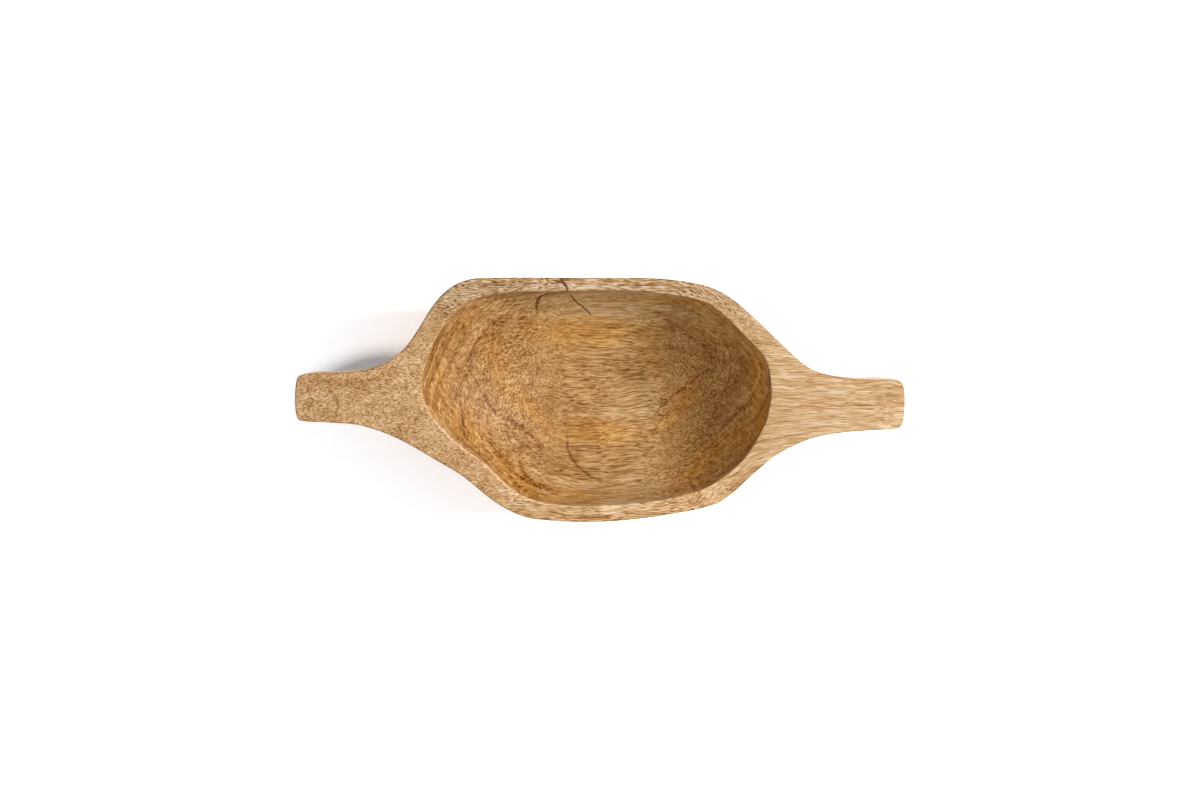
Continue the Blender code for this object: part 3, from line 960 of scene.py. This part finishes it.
def spline(points: np.ndarray, count: int) -> np.ndarray:
    """An open Catmull-Rom curve through points of any size, its end spans led by their own mirror images."""
    p = np.vstack([2 * points[0] - points[1], points, 2 * points[-1] - points[-2]])
    at = np.linspace(0, len(points) - 1 - 1e-9, count)
    i, t = at.astype(int), (at % 1)[:, None]
    a, b, c, d = p[i], p[i + 1], p[i + 2], p[i + 3]
    return (2 * b + (c - a) * t + (2 * a - 5 * b + 4 * c - d) * t**2 + (3 * b - a - 3 * c + d) * t**3) / 2


def unit(vectors: np.ndarray) -> np.ndarray:
    """Vectors scaled to length 1."""
    return vectors / np.linalg.norm(vectors, axis=-1, keepdims=True)


@dataclass
class CrackFiller:
    """One run of filler, level with the wood: a strip whose width wavers along it and shrinks towards its tips."""

    name: str
    node: Node
    width: float
    path: tuple[tuple[float, ...], ...]
    on_rim: bool = False
    taper: float = 0.16
    lift: float = 0.00014
    depth: float = 0.0012
    sunk: float = 0.00002
    drift: float = 0.00014
    count: int = 90
    section: tuple[float, ...] = (-1, -0.85, -0.5, 0, 0.5, 0.85, 1, 0.7, 0.3, -0.3, -0.7)
    crown: int = 7

    def skin(self, bowl: CarvedBowl) -> tuple[np.ndarray, np.ndarray]:
        """The path laid on the wood.

        Args:
            bowl: the billet that the crack is in.

        Returns:
            Places along the path, and the wood's normals there.
        """
        run = spline(np.array(self.path, float), self.count)
        if self.on_rim:
            x, y, drop = run.T * MM
            places = np.column_stack([x, y, bowl.height - drop])
            return places, np.broadcast_to((0.0, 0.0, 1.0), places.shape)
        angles, depth = np.radians(run[:, 0]), run[:, 1] * MM

        def point(angle: np.ndarray, below: np.ndarray) -> np.ndarray:
            """The hollow's place at an angle and a depth."""
            return raised(bowl.hollow_ring(angle, below), bowl.height - below)

        places = point(angles, depth)
        around, down = point(angles + 1e-4, depth) - places, point(angles, depth + 1e-5) - places
        normal = unit(np.cross(around, down))
        normal *= np.sign((normal * (np.array([0, 0, bowl.height]) - places)).sum(1))[:, None]
        free = np.clip((bowl.height - places[:, 2]) / 0.006, 0.12, 1)
        return places + normal * (bowl.hand(places) * free)[:, None], normal

    def build(self, bowl: CarvedBowl, paste: bpy.types.Material) -> bpy.types.Object:
        """Makes the piece: a section, crowned above and narrow below, carried along the path.

        Args:
            bowl: the billet that the crack is in.
            paste: its finish.

        Returns:
            The strip.
        """
        places, normal = self.skin(bowl)
        along = unit(np.gradient(places, axis=0))
        side = unit(np.cross(along, normal))
        share = np.linspace(0, 1, self.count)
        length = share * np.linalg.norm(np.diff(places, axis=0), axis=1).sum() / MM
        waver = 1 + 0.22 * np.sin(length * 1.9 + 1) + 0.16 * np.sin(length * 4.3) + 0.10 * np.sin(length * 9.1 + 2)
        half = 0.5 * self.width * waver * np.clip(np.minimum(share, 1 - share) / self.taper, 0.06, 1) ** 0.6
        drift = self.drift * (np.sin(length * 1.3) + 0.6 * np.sin(length * 3.7 + 1))
        across = np.array(self.section)
        crowned = np.arange(len(across)) < self.crown
        height = np.where(crowned, self.lift * (1 - across**4) - self.sunk, -self.depth)
        points = (
            places[:, None]
            + side[:, None] * (drift[:, None] + half[:, None] * across)[..., None]
            + normal[:, None] * height[None, :, None]
        )
        rows, columns = points.shape[:2]
        at = np.arange(rows * columns).reshape(rows, columns)
        beside = np.roll(at, -1, 1)
        quads = np.stack([at[:-1], beside[:-1], beside[1:], at[1:]], -1).reshape(-1, 4).tolist()
        faces = quads + [at[0][::-1].tolist(), at[-1].tolist()]
        return dressed(self.name, self.node, paste, points.reshape(-1, 3), faces)


# Paths are (x, y, drop below the rim) in mm on the rim, and (degrees, depth in mm) down the hollow's wall
CRACKS = (
    CrackFiller(
        "rim_crack", Node.RIM_CRACK, 0.0020,
        (
            (-28.7, 89.2, 0.9), (-28.5, 88.4, 0.1), (-27.2, 87.0, 0), (-25.4, 84.2, 0), (-23.8, 81.6, 0),
            (-23.2, 79.9, 0.2),
        ),
        on_rim=True, taper=0.04,
    ),
    CrackFiller(
        "left_wall_crack", Node.LEFT_CRACK, 0.0025,
        (
            (106.4, 1.2), (106.5, 4.0), (107.2, 8), (109.4, 13), (114, 16), (119, 19.4), (122.6, 26.3),
            (125.4, 33.6), (127, 38),
        ),
    ),
    CrackFiller(
        "right_wall_crack", Node.RIGHT_CRACK, 0.0014,
        ((106.4, 17), (105.3, 27.8), (103.8, 33.7), (101.0, 39.3), (98.3, 43.3), (96.6, 46.3)),
    ),
)  # fmt: skip


# ---------------------------------------------------------------- studio


@dataclass
class Studio:
    """A white sweep, one large soft lamp low in the east, and a camera that looks down from a little north."""

    tilt: float = 7.0
    distance: float = 1.4
    lens: float = 57.6
    sky: float = 0.62
    key_watts: float = 41.0
    key_size: float = 0.66
    key_at: tuple[float, float, float] = (1.42, 0.32, 1.20)
    sweep: Colour = (1.66, 1.75, 1.86)
    # painted shadow on the floor under the left handle
    shade: Patch = Patch(-178, 4, 74, 34, 14, 1.12)
    shade_power: float = 3.0
    shade_cap: float = 0.62
    floor_half: float = 4.0

    def build(self, aim: float) -> None:
        """Sets the stage.

        Args:
            aim: the height in metres that the camera and the lamp look at.
        """
        scene = bpy.context.scene
        scene.view_settings.view_transform = "Standard"
        world = bpy.data.worlds.new("sky")
        world.use_nodes = True
        background = world.node_tree.nodes["Background"]
        background.inputs["Color"].default_value = (1.0, 1.0, 1.0, 1.0)
        background.inputs["Strength"].default_value = self.sky
        scene.world = world

        board = Board("sweep")
        place = board.node("ShaderNodeTexCoord", {}, {}, "Object")
        x, y, _ = board.parts(board.node("ShaderNodeVectorMath", {"operation": "SCALE"}, {0: place, "Scale": 1 / MM}))
        # painted shadow: the floor's colour mixed towards black under the left handle
        share = self.shade.cover(x, y).power(self.shade_power).math("MINIMUM", self.shade_cap)
        colour = board.blend(share, self.sweep, (0.0, 0.0, 0.0))
        board.finish({"Base Color": colour}, {"Roughness": 1.0, "Specular IOR Level": 0.0})
        mesh = bpy.data.meshes.new("sweep")
        half = self.floor_half
        mesh.from_pydata([(-half, -half, 0), (half, -half, 0), (half, half, 0), (-half, half, 0)], [], [(0, 1, 2, 3)])
        mesh.materials.append(board.material)
        floor = bpy.data.objects.new("sweep", mesh)
        scene.collection.objects.link(floor)

        lamp = bpy.data.lights.new("key", "AREA")
        lamp.energy, lamp.shape, lamp.size = self.key_watts, "DISK", self.key_size
        key = bpy.data.objects.new("key", lamp)
        x, y, z = self.key_at
        key.location = self.key_at
        key.rotation_euler = (math.atan2(math.hypot(x, y), z - aim), 0, math.atan2(y, x) + math.pi / 2)
        scene.collection.objects.link(key)

        data = bpy.data.cameras.new("camera")
        data.lens, data.sensor_width = self.lens, 36.0
        camera = bpy.data.objects.new("camera", data)
        tilt = math.radians(self.tilt)
        camera.location = (0, self.distance * math.sin(tilt), aim + self.distance * math.cos(tilt))
        camera.rotation_euler = (-tilt, 0, 0)
        scene.collection.objects.link(camera)
        scene.camera = camera


def main() -> None:
    """Builds the classes in order and reports each piece."""
    logging.basicConfig(level=logging.INFO, format="%(message)s")
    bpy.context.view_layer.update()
    bowl = CarvedBowl()
    pieces = [bowl.build(MangoWood().build())]
    paste = CrackPaste().build()
    pieces += [crack.build(bowl, paste) for crack in CRACKS]
    for piece in pieces:
        LOG.info("%s: %d points, %d faces", piece.name, len(piece.data.vertices), len(piece.data.polygons))
    Studio().build(bowl.height)


if __name__ == "__main__":
    main()
